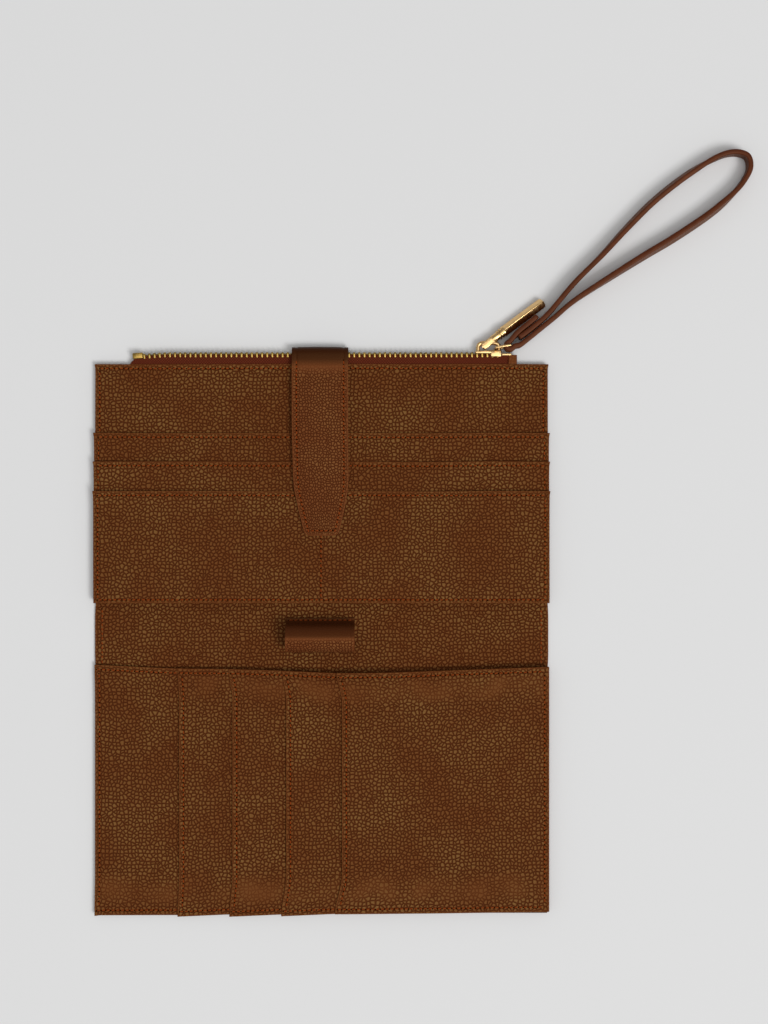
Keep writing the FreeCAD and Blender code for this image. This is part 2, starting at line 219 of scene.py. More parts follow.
def leather(name, bead_mm, crease, body, top_highlight, relief_mm, roughness, top_highlight_share):
    """Pebbled leather: bead size in mm, three colours from the creases, darkened as painted shade, up to the tops'
    painted highlight.
    """
    material, tree, shader = new_material(name, Roughness=roughness, IOR=1.5, Specular_IOR_Level=0.2,
                                          Specular_Tint=colour("#ffcf8c"))
    place = add_node(tree, "ShaderNodeTexCoord").outputs["UV"]
    warp = add_node(tree, "ShaderNodeTexNoise", {"Vector": place}, noise_dimensions="2D",
                    Scale=1000 / (bead_mm * 1.6), Detail=1.0)
    bent = add_node(tree, "ShaderNodeVectorMath", {0: warp.outputs["Color"]}, operation="SCALE",
                    Scale=bead_mm * 0.00045)
    bent = add_node(tree, "ShaderNodeVectorMath", {0: place, 1: bent.outputs[0]}, operation="ADD").outputs[0]
    cells = add_node(tree, "ShaderNodeTexVoronoi", {"Vector": bent}, voronoi_dimensions="2D",
                     feature="DISTANCE_TO_EDGE", Scale=1000 / bead_mm, Randomness=0.85)
    bead = add_node(tree, "ShaderNodeMapRange", {"Value": cells.outputs["Distance"]},
                    interpolation_type="SMOOTHSTEP", in_1=0.0, in_2=0.26)
    wide = add_node(tree, "ShaderNodeTexNoise", {"Vector": place}, noise_dimensions="2D", Scale=38.0, Detail=3.0)
    fine = add_node(tree, "ShaderNodeTexNoise", {"Vector": place}, noise_dimensions="2D", Scale=2600.0, Detail=2.0)
    highlight_patches = add_node(tree, "ShaderNodeMapRange", {"Value": wide.outputs["Fac"]}, in_1=0.36, in_2=0.68,
                   in_3=0.25 * top_highlight_share, in_4=top_highlight_share)
    top = add_node(tree, "ShaderNodeMapRange", {"Value": cells.outputs["Distance"]},
                   interpolation_type="SMOOTHSTEP", in_1=0.04, in_2=0.42)
    highlight_mask = add_node(tree, "ShaderNodeMath", {0: top.outputs[0], 1: highlight_patches.outputs[0]}, operation="MULTIPLY")
    speck = add_node(tree, "ShaderNodeMapRange", {"Value": fine.outputs["Fac"]}, in_1=0.3, in_2=0.7,
                     in_3=0.55, in_4=1.2)
    highlight_mask = add_node(tree, "ShaderNodeMath", {0: highlight_mask.outputs[0], 1: speck.outputs[0]}, operation="MULTIPLY")
    # The crease colour is painted shade between the beads; the top colour is a painted highlight on the bead tops,
    # in random patches.
    base = mix_colour(tree, bead.outputs[0], crease, body)
    grain_and_highlight = mix_colour(tree, highlight_mask.outputs[0], base, top_highlight)
    grain = add_node(tree, "ShaderNodeMath", {0: fine.outputs["Fac"]}, operation="MULTIPLY", in_1=0.18)
    height = add_node(tree, "ShaderNodeMath", {0: bead.outputs[0], 1: grain.outputs[0]}, operation="ADD")
    pressed_and_shaded = add_node(tree, "ShaderNodeAttribute", attribute_name="pressed_and_shaded").outputs["Fac"]
    left_over = add_node(tree, "ShaderNodeMapRange", {"Value": pressed_and_shaded}, in_3=1.0, in_4=0.15)
    add_bump(tree, shader, {"Height": height.outputs[0], "Strength": left_over.outputs[0]},
             Distance=relief_mm * MM)
    flat = add_node(tree, "ShaderNodeMapRange", {"Value": pressed_and_shaded}, in_3=0.0, in_4=0.8)
    smoothed = mix_colour(tree, flat.outputs[0], grain_and_highlight, body)
    # Above 1 the map darkens the leather towards a deep brown: painted shade where a sheet turns away from the
    # light.
    painted_shade = add_node(tree, "ShaderNodeMapRange", {"Value": pressed_and_shaded}, in_1=1.0, in_2=2.0, in_3=0.0, in_4=1.0)
    tree.links.new(mix_colour(tree, painted_shade.outputs[0], smoothed, "#321305"), shader.inputs["Base Color"])
    return material


# Colours go crease (painted shade), body, then bead tops (painted highlight).
pebbled_leather = leather("pebbled_split_leather", 1.85, "#4a1d08", "#613214", "#7a5a31", 0.36, 0.5, 0.8)
strap_leather = leather("finely_pebbled_strap_leather", 1.45, "#4a1c08", "#673519", "#855d34", 0.28, 0.5, 0.65)
print("leathers:", pebbled_leather.name, "and", strap_leather.name)

# %% [markdown]
# ## Thread, needle holes and painted edges
# The thread is bonded polyester in an orange brown, thick enough to catch the light. Each stitch sinks into
# a needle hole, drawn as a dark dot of painted shade. The wrist strap's cut edges are painted and burnished to a
# soft gloss.

# %% Thread, holes and edge paint
thread = clouded("bonded_polyester_thread", 1500.0, 1.0, "#6c2a0c", "#98461a", Roughness=0.65,
                 Specular_IOR_Level=0.12, Specular_Tint=colour("#ffb070"))[0]
# The needle hole is a dark disc of painted shade: the real hole is a recess that shade fills.
needle_hole_shade = new_material("needle_hole_shade", Roughness=0.9, Specular_IOR_Level=0.0,
                           Base_Color=colour("#1c0900"))[0]
edge_paint, tree, shader, place, cloud = clouded(
    "burnished_edge_paint", 260.0, 3.0, "#3a1508", "#5a2a16", Roughness=0.42, Specular_IOR_Level=0.3,
    Specular_Tint=colour("#ffc9a0"))
add_bump(tree, shader, {"Height": cloud}, Strength=0.5, Distance=0.15 * MM)

# %% [markdown]
# ## Woven zip tape and lining
# Zip tape is a herringbone of polyester, and the lining is a plain weave. Two crossed waves at the thread
# spacing give a weave that reads as cloth close up and as a soft sheen from above. The real threads are
# about 0.4 mm apart, too fine to show from here, so they are drawn half as fine again.

# %% Woven cloths


def woven(name, spacing_mm, dark, light, slant):
    """A cloth whose two sets of threads cross; slant turns the ribs, as in a twill."""
    material, tree, shader = new_material(name, Roughness=0.85, Specular_IOR_Level=0.1)
    place = add_node(tree, "ShaderNodeTexCoord").outputs["UV"]
    turned = add_node(tree, "ShaderNodeMapping", {"Vector": place}, Rotation=(0.0, 0.0, slant))
    ribs = [add_node(tree, "ShaderNodeTexWave", {"Vector": turned.outputs[0]}, bands_direction=direction,
                     Scale=1000 / spacing_mm / 20 * math.pi, Distortion=1.5, Detail=1.0, Detail_Scale=2.0)
            for direction in ("X", "Y")]
    both = add_node(tree, "ShaderNodeMath", {0: ribs[0].outputs["Fac"], 1: ribs[1].outputs["Fac"]},
                    operation="MULTIPLY")
    tree.links.new(mix_colour(tree, both.outputs[0], dark, light), shader.inputs["Base Color"])
    add_bump(tree, shader, {"Height": both.outputs[0]}, Strength=0.8, Distance=0.12 * MM)
    return material


zip_tape_cloth = woven("twill_zip_tape", 0.45, "#47190a", "#6f3016", 0.8)
lining_cloth = woven("plain_weave_lining", 0.6, "#2c150b", "#4c2a18", 0.0)

# %% [markdown]
# ## Metals
# The puller, ring and slider are zinc castings, polished and plated in pale gold. The chain and its stops
# are stamped brass, a little darkened in the valleys. A metal's colour is its base colour; what makes it
# look like metal is a low roughness that wanders, and the fine marks left by polishing.

# %% Plated gold, brass, steel and board


def metal(name, low, high, roughness, relief_mm):
    """A metal with cloudy tarnish between two colours and fine polishing marks."""
    material, tree, shader, place, cloud = clouded(name, 320.0, 4.0, low, high, Metallic=1.0,
                                                   Roughness=roughness)
    rough = add_node(tree, "ShaderNodeMapRange", {"Value": cloud}, in_1=0.3, in_2=0.7,
                     in_3=roughness * 0.7, in_4=roughness * 1.5)
    tree.links.new(rough.outputs[0], shader.inputs["Roughness"])
    marks = add_node(tree, "ShaderNodeTexNoise", {"Vector": place}, Scale=2200.0, Detail=2.0)
    add_bump(tree, shader, {"Height": marks.outputs["Fac"]}, Strength=0.6, Distance=relief_mm * MM)
    return material


pale_gold = metal("pale_gold_plated_zinc", "#c79a5e", "#efcf98", 0.22, 0.012)
chain_brass = metal("darkened_stamped_brass", "#6b5122", "#c9a85c", 0.32, 0.02)
plated_steel = metal("nickel_plated_steel", "#8e8e90", "#b9b9bb", 0.3, 0.01)

stiffener_board = clouded("grey_fibre_board", 900.0, 4.0, "#5a5048", "#8a7c6c", Roughness=0.9)[0]

# %% [markdown]
# ## A sheet of leather
# Every panel starts the same way: a flat grid whose lines are close together at the edges and seams, where
# the leather turns down and the thread pulls it in, and far apart in the plain middle. The grid's points
# are set on the panel's surface, then Solidify gives the thickness and Bevel rounds the turned edge.

# %% Grid lines and the sheet


def stations(low, high, seams=(), step=4.0):
    """Grid lines from low to high, close together at both ends and at each seam."""
    marks = {low, high}
    for centre in (low, high, *seams):
        for away in (0.0, 0.3, 0.6, 1.0, 1.6, 2.6):
            marks |= {place for place in (centre - away, centre + away) if low < place < high}
    lines = [low]
    for mark in sorted(marks):
        gap = mark - lines[-1]
        if gap < 0.15:
            continue
        parts = max(1, math.ceil(gap / step))
        start = lines[-1]
        lines += [start + gap * part / parts for part in range(1, parts + 1)]
    lines[-1] = high
    return lines


def stretch_uv(piece, flat):
    """Writes the UV map in metres, from each corner's flat place on the uncut leather."""
    layer = piece.data.uv_layers.active.data
    for loop in piece.data.loops:
        layer[loop.index].uv = flat[loop.vertex_index]


def round_edges(piece, name, width_mm, segments, limit_deg=None):
    """Adds a bevel, which rounds the edges that turn by more than the limit."""
    rounded = piece.modifiers.new(name, "BEVEL")
    rounded.width, rounded.segments = width_mm * MM, segments
    if limit_deg is not None:
        rounded.limit_method, rounded.angle_limit = "ANGLE", math.radians(limit_deg)


def smooth_faces(piece, degrees, material=None):
    """Smooth shading over edges that turn by less than the given angle, and the piece's only material."""
    pick(piece)
    bpy.ops.object.shade_smooth_by_angle(angle=math.radians(degrees))
    if material:
        piece.data.materials.clear()
        piece.data.materials.append(material)


def mark_pressed_and_shaded(piece, across, along, shift, pressed_and_shaded):
    """Writes where the grain is flattened: along the turned edges, and as much as the given map says. Above 1
    the leather is darkened as well, up to 2, which is painted shade."""
    values = piece.data.attributes.new("pressed_and_shaded", "FLOAT", "CORNER").data
    for corner, place in enumerate(piece.data.uv_layers.active.data):
        u, v = place.uv.x / MM - shift[0], place.uv.y / MM - shift[1]
        inside = min(u - across[0], across[-1] - u, v - along[0], along[-1] - v)
        values[corner].value = min(2.0, max(0.85 * math.exp(-(inside / 0.8) ** 2), pressed_and_shaded(u, v)))


sheet_count = 0


def leather_sheet(name, across, along, surface, thickness, material, edge=0.25, smooth_deg=40,
                  pressed_and_shaded=lambda u, v: 0.0):
    """A sheet whose top goes through surface(u, v), in mm, with its thickness below."""
    global sheet_count
    sheet_count += 1
    shift = 37.0 * sheet_count, 91.0 * sheet_count
    deselect_all()
    columns, rows = len(across) - 1, len(along) - 1
    bpy.ops.mesh.primitive_grid_add(x_subdivisions=columns, y_subdivisions=rows, size=2.0)
    piece = bpy.context.object
    piece.name = piece.data.name = name
    flat = []
    for vertex in piece.data.vertices:
        u = across[round((vertex.co.x + 1) / 2 * columns)]
        v = along[round((vertex.co.y + 1) / 2 * rows)]
        vertex.co = Vector(surface(u, v)) * MM
        flat.append(((u + shift[0]) * MM, (v + shift[1]) * MM))
    stretch_uv(piece, flat)
    solid = piece.modifiers.new("thickness", "SOLIDIFY")
    solid.thickness, solid.offset, solid.use_even_offset = thickness * MM, -1.0, True
    round_edges(piece, "turned_edge", edge, 3, 60)
    apply_modifiers(piece)
    mark_pressed_and_shaded(piece, across, along, shift, pressed_and_shaded)
    smooth_faces(piece, smooth_deg, material)
    return piece


def pull(distance, depth=0.24):
    """How far a seam's thread pulls the leather down, at a distance from the seam's middle."""
    return depth * math.exp(-(distance / 0.55) ** 2)


def ripple(x, y, height=0.05, size=26.0):
    """The slow unevenness of a soft sheet."""
    return height * noise.noise(Vector((x / size, y / size, 0.37)))


# %% [markdown]
# ## Stitches
# One stitch is a short thread, thick in the middle and sunk at both ends, with a needle hole at one end, a dark
# disc of painted shade.
# It is modelled once and copied along each seam, and each seam's copies are joined into one piece.

# %% One stitch


def one_stitch():
    """A thread 1.7 mm long, lying along X, and the hole that it comes out of, a dark disc of painted shade."""
    deselect_all()
    bpy.ops.mesh.primitive_uv_sphere_add(segments=8, ring_count=6, radius=1.0, rotation=(0, math.pi / 2, 0))
    stitch = bpy.context.object
    bpy.ops.object.transform_apply(rotation=True)
    for vertex in stitch.data.vertices:
        bow = 0.12 * vertex.co.x ** 2
        vertex.co = Vector((vertex.co.x * 0.85, vertex.co.y * 0.3, vertex.co.z * 0.24 - bow)) * MM
    bpy.ops.object.shade_smooth()
    stitch.data.materials.append(thread)
    deselect_all()
    bpy.ops.mesh.primitive_cylinder_add(vertices=8, radius=0.36 * MM, depth=0.2 * MM,
                                        location=(-1.16 * MM, 0, -0.07 * MM))
    hole = bpy.context.object
    hole.data.materials.append(needle_hole_shade)
    stitch.select_set(True)
    bpy.context.view_layer.objects.active = stitch
    bpy.ops.object.transform_apply(location=True)
    bpy.ops.object.join()
    stitch.name = "stitch"
    return stitch


stitch_model = one_stitch()
print("one stitch has", len(stitch_model.data.polygons), "faces")

# %% Sew a seam


def join_pieces(name, pieces):
    """Joins pieces into the first of them."""
    deselect_all()
    for piece in pieces:
        piece.select_set(True)
    bpy.context.view_layer.objects.active = pieces[0]
    if len(pieces) > 1:
        bpy.ops.object.join()
    pieces[0].name = pieces[0].data.name = name
    return pieces[0]


def sew(name, line, up=Vector((0, 0, 1)), pitch=STITCH_PITCH, slant=0.1):
    """Copies the stitch along a line of points in mm. Up is the leather's outward side, or a function of the
    place along the line that gives it. Returns one joined piece."""
    points = [Vector(point) for point in line]
    lengths = [0.0]
    for start, end in zip(points, points[1:]):
        lengths.append(lengths[-1] + (end - start).length)
    count = max(1, round(lengths[-1] / pitch))
    copies, leg = [], 0
    for number in range(count):
        way = lengths[-1] * (number + 0.5) / count
        while leg < len(points) - 2 and lengths[leg + 1] < way:
            leg += 1
        share = (way - lengths[leg]) / (lengths[leg + 1] - lengths[leg])
        place = points[leg].lerp(points[leg + 1], share)
        outward = (up(place) if callable(up) else up).normalized()
        forward = (points[leg + 1] - points[leg]).normalized()
        side = outward.cross(forward).normalized()
        forward = (side.cross(outward) + side * slant).normalized()
        side = outward.cross(forward)
        frame_at = Matrix((forward, side, outward)).transposed().to_4x4()
        copy = stitch_model.copy()
        copy.data = stitch_model.data.copy()
        copy.data.transform(Matrix.Translation(place * MM) @ frame_at)
        bpy.context.collection.objects.link(copy)
        copies.append(copy)
    return join_pieces(name, copies)


def laid_on(surface, ends, step, above=0.1):
    """Points about a step apart along straight runs, raised a little above a surface."""
    dense = []
    for (u0, v0), (u1, v1) in zip(ends, ends[1:]):
        parts = max(1, round(math.dist((u0, v0), (u1, v1)) / step))
        for part in range(parts + ((u1, v1) == ends[-1])):
            x, y, z = surface(u0 + (u1 - u0) * part / parts, v0 + (v1 - v0) * part / parts)
            dense.append((x, y, z + above))
    return dense


def finish_piece(piece, body, slot, *nodes):
    """Hides the frame parts that a piece stands for, and attaches it to its body, or only bakes its transform when
    it is given a fold. Its slot is not used.
    """
    if nodes:
        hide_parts(*nodes)
    if isinstance(body, tuple):
        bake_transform(piece)
    else:
        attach(piece, body)


def split_at(piece, y, names):
    """Cuts a piece in two across Y, with both cuts closed, and returns the part above y and the part below."""
    halves = []
    for name, keep_above in zip(names, (True, False)):
        half = piece.copy()
        half.data = piece.data.copy()
        bpy.context.collection.objects.link(half)
        pick(half)
        bpy.ops.object.mode_set(mode="EDIT")
        bpy.ops.mesh.select_all(action="SELECT")
        bpy.ops.mesh.bisect(plane_co=(0, y * MM, 0), plane_no=(0, 1, 0), use_fill=True,
                            clear_inner=keep_above, clear_outer=not keep_above)
        bpy.ops.object.mode_set(mode="OBJECT")
        bpy.ops.object.shade_smooth_by_angle(angle=math.radians(40))
        half.name = half.data.name = name
        halves.append(half)
    bpy.data.objects.remove(piece)
    return halves


# Each fold joins one body's leather to the next one's, within 2 mm of its line. A piece given one of these is
# attached to no body: its transform is only baked.
AT_UPPER_FOLD = ("card_half", "spine", (0, UPPER_FOLD + 2.0, 1.2), (0, UPPER_FOLD - 2.0, 1.2))
AT_LOWER_FOLD = ("spine", "passport_half", (0, LOWER_FOLD + 2.0, 1.2), (0, LOWER_FOLD - 2.0, 1.2))

# %% [markdown]
# ## The cover
# The outside is one sheet of leather that runs over both halves and the spine between them. It bends at two
# folds, and each piece can bend across one only, so the sheet is cut in the middle of the spine, where
# nothing turns. The spine is half a millimetre wider on each side than the halves.

# %% The cover's outside


SPINE_WIDER = 0.45


def cover_half_width(y):
    """Half the cover's width at y, a little more along the spine than on the halves."""
    past_lower = smooth(y, LOWER_FOLD - 6, LOWER_FOLD + 6)
    past_upper = smooth(y, UPPER_FOLD - 6, UPPER_FOLD + 6)
    return HALF_WIDTH + SPINE_WIDER * (past_lower - past_upper)


def cover_surface(u, v):
    """The cover's inner face. Both folds dip a little, because the leather has been creased there."""
    x = u * cover_half_width(v) / HALF_WIDTH
    crease = 0.12 * (math.exp(-((v - UPPER_FOLD) / 1.4) ** 2) + math.exp(-((v - LOWER_FOLD) / 1.4) ** 2))
    return x, v, 1.2 - crease


COVER_SIDE = HALF_WIDTH - SEAM_IN
across = stations(-HALF_WIDTH, HALF_WIDTH, (-COVER_SIDE, COVER_SIDE), 6.0)
along = stations(LOWER_END, ZIP_EDGE, (UPPER_FOLD, LOWER_FOLD), 6.0)
cover = leather_sheet("cover", across, along, cover_surface, 1.06, pebbled_leather, 0.35)
cover_upper, cover_lower = split_at(cover, SPINE_MIDDLE, ("cover_upper_leather", "cover_lower_leather"))
finish_piece(cover_upper, AT_UPPER_FOLD, "leather_grain", "cover_upper", "cover_spine")
finish_piece(cover_lower, AT_LOWER_FOLD, "leather_grain", "cover_lower")
print("the cover has", len(cover_upper.data.polygons) + len(cover_lower.data.polygons), "faces")

# %% The cover's stitching, underneath
UNDER = Vector((0, 0, -1))


def under_line(ends):
    """A line of stitching on the cover's outer face."""
    return [(x, y, 0.2) for x, y in ends]


top_y, end_y = ZIP_EDGE - SEAM_IN, LOWER_END + SEAM_IN
upper_under = sew("cover_upper_stitching", under_line(
    [(-COVER_SIDE + 0.6, SPINE_MIDDLE), (-COVER_SIDE, -56), (-COVER_SIDE, top_y), (COVER_SIDE, top_y),
     (COVER_SIDE, -56), (COVER_SIDE - 0.6, SPINE_MIDDLE)]), UNDER)
lower_under = sew("cover_lower_stitching", under_line(
    [(COVER_SIDE - 0.6, SPINE_MIDDLE), (COVER_SIDE, -96), (COVER_SIDE, end_y), (-COVER_SIDE, end_y),
     (-COVER_SIDE, -96), (-COVER_SIDE + 0.6, SPINE_MIDDLE)]), UNDER)
finish_piece(upper_under, AT_UPPER_FOLD, "leather_grain")
finish_piece(lower_under, AT_LOWER_FOLD, "leather_grain")

# %% [markdown]
# ## Inside the spine
# The same pebbled leather lines the spine, tucked under the card pockets on one side and under the boarding
# pass pocket on the other. Like the cover, it is cut in the middle of the spine, here under the pen loop.

# %% The spine's inner leather
SPINE_TOP = 1.72


def spine_surface(u, v):
    """The spine's inner leather, pulled down a little by its side seams and at the folds."""
    width = cover_half_width(v) - 0.05
    x = u * width / HALF_WIDTH
    crease = 0.1 * (math.exp(-((v - UPPER_FOLD) / 1.2) ** 2) + math.exp(-((v - LOWER_FOLD) / 1.2) ** 2))
    over_board = 0.58 * smooth(-v, 90.4, 92.6)
    return x, v, SPINE_TOP + over_board - crease - pull(abs(u) - COVER_SIDE, 0.18) + ripple(u, v, 0.06)


along = stations(-98.0, -57.6, (UPPER_FOLD, LOWER_FOLD, SPINE_MIDDLE), 3.0)
spine_leather = leather_sheet("spine_leather", across, along, spine_surface, 0.48, pebbled_leather, 0.2)
spine_upper, spine_lower = split_at(spine_leather, SPINE_MIDDLE, ("spine_upper_leather", "spine_lower_leather"))
finish_piece(spine_upper, AT_UPPER_FOLD, "leather_grain", "spine_lining")
finish_piece(spine_lower, AT_LOWER_FOLD, "leather_grain")
side_x = COVER_SIDE - 0.9
for x, side in ((-side_x, "left"), (side_x, "right")):
    for part, high_y, low_y, fold in (("upper", -61.5, SPINE_MIDDLE, AT_UPPER_FOLD),
                                      ("lower", SPINE_MIDDLE, -88.4, AT_LOWER_FOLD)):
        seam = sew(f"spine_{part}_stitching_{side}", [(x, y, SPINE_TOP - 0.05) for y in (high_y, low_y)])
        finish_piece(seam, fold, "leather_grain")

# %% [markdown]
# ## Card panels
# The back panel and three card pockets are stacked, each lower one starting further from the zip. Each
# pocket's mouth is a turned hem with stitching just below it, and the pockets share a seam down the middle.
# Between the seams a mouth stands open by less than a millimetre, which throws a thin shadow.

# %% A card panel
CENTRE_SEAM = -0.2
FOOT_SEAM_IN = 1.7
TURNED_T = 0.6                  # a panel's thickness


def card_panel(name, top_z, high_y, half_width, lift, node):
    """A panel from CARD_END up to high_y. Returns where its stitching goes, and its surface."""
    seam_x, hem_y, end_y = half_width - SEAM_IN, high_y - SEAM_IN + 0.1, CARD_END + FOOT_SEAM_IN

    def surface(u, v):
        gape = lift * math.sin(math.pi * smooth(abs(u - CENTRE_SEAM), 14.5, 2 * seam_x - 14.5)) if lift else 0.0
        gape *= math.exp(-((high_y - v) / 6.0) ** 2)
        flare = 0.35 * math.exp(-((high_y - v) / 1.6) ** 2) * abs(u / half_width) ** 8
        x = u + flare * (1 if u > 0 else -1) + ripple(v, u, 0.1, 30.0) * (abs(u) > seam_x)
        sides = pull(abs(u) - seam_x)
        rows = max(pull(v - hem_y), pull(v - end_y))
        if lift:
            rows = max(rows, pull(u - CENTRE_SEAM, 0.12) * smooth(v, high_y, high_y - 4))
        y = v + ripple(u, v, 0.25, 40.0) * smooth(v, high_y - 20, high_y)
        return x, y, top_z + gape - max(sides, rows) + ripple(u, v)

    across = stations(-half_width, half_width, (-seam_x, CENTRE_SEAM, seam_x))
    along = stations(CARD_END, high_y, (hem_y, end_y))
    panel = leather_sheet(name, across, along, surface, TURNED_T, pebbled_leather)
    finish_piece(panel, "card_half", "leather_grain", node)
    return seam_x, hem_y, end_y, surface


def sew_on_card(name, surface, start, end):
    card_seams.append(sew(name, laid_on(surface, [start, end], 4)))


card_seams = []
PANELS = (("card_back_leather", 3.8, ZIP_EDGE, 110.7, 0.0, "card_back_panel", CARD_HEMS[0]),
          ("card_pocket_leather_1", 4.5, CARD_HEMS[0], 111.2, 0.75, "card_pocket_1", CARD_HEMS[1]),
          ("card_pocket_leather_2", 5.2, CARD_HEMS[1], 111.3, 0.75, "card_pocket_2", CARD_HEMS[2]),
          ("card_pocket_leather_3", 5.9, CARD_HEMS[2], 111.4, 0.9, "card_pocket_3", CARD_END + FOOT_SEAM_IN))
for name, top_z, high_y, half_width, lift, node, seen_to in PANELS:
    seam_x, hem_y, end_y, panel = card_panel(name, top_z, high_y, half_width, lift, node)
    sew_on_card(name + "_hem", panel, (-seam_x, hem_y), (seam_x, hem_y))
    for x in (-seam_x, seam_x):
        sew_on_card(name + "_side", panel, (x, hem_y - 1.6), (x, seen_to + 0.4))
sew_on_card("card_foot", panel, (-seam_x, end_y), (seam_x, end_y))
sew_on_card("card_centre", panel, (CENTRE_SEAM, hem_y - 2), (CENTRE_SEAM, end_y + 1))
finish_piece(join_pieces("card_pocket_stitching", card_seams), "card_half", "leather_grain")
print("card panels sewn with", len(card_seams), "seams")

# %% [markdown]
# ## The passport half
# Five sheets overlap here. The boarding pass pocket covers the whole half and opens towards the spine. Four
# passport pockets lie on it like steps, each open on its left side, and all are caught in the same seams
# along the mouth and the foot. Their left edges bulge to the left at both ends, where those seams hold them.

# %% A stepped pocket
STEP_LENGTH = 120.0             # from a step's mouth to its foot, before it is fitted between the two


def stepped_pocket(name, top_z, left_x, bulges, foot, right_x, lift, node, thickness):
    """A pocket from its left edge to the wallet's right edge."""
    top_bulge, foot_bulge = bulges
    seam_left, seam_right = left_x + SEAM_IN, right_x - SEAM_IN
    low_v, high_v = -STEP_LENGTH, 0.0
    mouth_seam, foot_seam = -SEAM_IN, low_v + 2.5

    def edge_shift(v):
        return -top_bulge * smooth(v, -16, 0) ** 1.3 - foot_bulge * smooth(-v, 100, 120)

    def surface(u, v):
        share = 1 - smooth(u, left_x, left_x + 30)
        x = u + edge_shift(v) * share
        top_y = mouth(x) + 0.25 * lift
        low_y = through(foot, x)
        y = low_y + (top_y - low_y) * (v - low_v) / (high_v - low_v)
        gape = lift * math.exp(-((u - left_x) / 7.0) ** 2) * smooth(v, -2, -30) * smooth(-v, 118, 90)
        rows = max(pull(v - mouth_seam), pull(v - foot_seam), pull(u - seam_right), pull(u - seam_left))
        return x, y, top_z + gape - rows + ripple(u, v)

    across = stations(left_x, right_x, (seam_left, seam_right))
    along = stations(low_v, high_v, (mouth_seam, foot_seam))

    def pressed_and_shaded(u, v):
        patch = 0.5 + 0.9 * noise.noise(Vector((u / 9, v / 9, left_x)))
        near_foot = smooth(-v, 101, 105) * (1 - smooth(-v, 112, 116))
        near_mouth = smooth(v, -15, -11) * (1 - smooth(v, -6, -3)) * (0.0 if left_x < -100 else 1.0)
        return max(0.0, patch) * (near_foot * 0.8 + near_mouth * 0.9)

    sheet = leather_sheet(name, across, along, surface, thickness, pebbled_leather, pressed_and_shaded=pressed_and_shaded)
    finish_piece(sheet, "passport_half", "leather_grain", node)
    return seam_left, seam_right, mouth_seam, foot_seam, surface


STEPS = (
    ("boarding_pass_leather", 3.2, -110.9, (0.3, 0.3), ((-112.0, -211.7), (-108.0, -211.3), (-70.0, -211.2),
                                                        (112.0, -209.4)), 0.0, "boarding_pass_pocket", -69.7),
    ("passport_pocket_leather_1", 3.95, -69.7, (0.9, 0.8), ((-71.0, -211.9), (-44.7, -210.7), (112.0, -209.4)),
     0.5, "passport_pocket_1", -43.6),
    ("passport_pocket_leather_2", 4.65, -43.6, (1.9, 1.5), ((-46.0, -211.8), (-18.8, -210.6), (112.0, -209.3)),
     0.5, "passport_pocket_2", -17.3),
    ("passport_pocket_leather_3", 5.35, -17.3, (2.0, 2.4), ((-20.0, -211.4), (9.0, -210.1), (112.0, -209.2)),
     0.5, "passport_pocket_3", 10.0),
    ("passport_pocket_leather_4", 6.05, 10.0, (2.8, 3.4), ((6.0, -210.3), (60.0, -209.8), (112.0, -209.0)),
     0.6, "passport_pocket_4", 108.6),
)
passport_seams = []


def sew_on_pocket(name, surface, start, end):
    passport_seams.append(sew(name, laid_on(surface, [start, end], 3)))


for number, (name, top_z, left_x, bulges, foot, lift, node, seen_to) in enumerate(STEPS):
    seam_left, seam_right, mouth_seam, foot_seam, pocket = stepped_pocket(
        name, top_z, left_x, bulges, foot, 110.9 + 0.08 * number, lift, node, TURNED_T if number else 0.75)
    seen_x = min(seen_to - 0.8, seam_right)
    for part, v in (("_mouth", mouth_seam), ("_foot", foot_seam)):
        sew_on_pocket(name + part, pocket, (left_x + 0.9, v), (seen_x, v))
    sew_on_pocket(name + "_left", pocket, (seam_left, mouth_seam - 2), (seam_left, foot_seam + 2))
sew_on_pocket("passport_right", pocket, (seam_right, mouth_seam - 2), (seam_right, foot_seam + 2))
finish_piece(join_pieces("passport_pocket_stitching", passport_seams), "passport_half", "leather_grain")
print("the passport half has", len(STEPS), "sheets")

# %% [markdown]
# ## Linings and boards
# Inside each half a fibre board keeps the leather flat, and a woven lining closes the zipped pocket. They
# only show at the open edges, as thin layers.

# %% Linings


def flat_cloth(name, node, body, high_y=None):
    """A thin cloth that fills a frame part's box, or the part of it below high_y, with uneven edges."""
    low, high = (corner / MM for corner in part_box(node))
    across = stations(low.x + 0.4, high.x - 0.4, (), 8.0)
    along = stations(low.y + 0.3, high_y or high.y - 0.3, (), 8.0)
    cloth = leather_sheet(name, across, along,
                          lambda u, v: (u + ripple(v, u, 0.2, 18.0), v + ripple(u, v, 0.2, 18.0), high.z),
                          high.z - low.z, lining_cloth, 0.1)
    finish_piece(cloth, body, "lining", node)


flat_cloth("zip_pocket_cloth_back", "zip_pocket_lining_back", "card_half")
flat_cloth("zip_pocket_cloth_front", "zip_pocket_lining_front", "card_half")
flat_cloth("passport_cloth", "passport_lining", "passport_half", -96.0)


def dress(material, *nodes):
    """Gives frame parts whose shape is already right their material."""
    for name in nodes:
        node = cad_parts[name]
        node.data.materials.clear()
        node.data.materials.append(material)


dress(stiffener_board, "stiffener_upper", "stiffener_lower")
dress(plated_steel, "closure_magnet", "closure_plate")

# %% [markdown]
# ## The closure strap
# The strap is sewn under the zipped edge, turns over it in a half circle and lies flat on the card pockets.
# It is two plies of leather glued and stitched round the rim. The grid follows the route: along the top,
# over the turn and back underneath. Its tip tapers, and the corners are cut round.

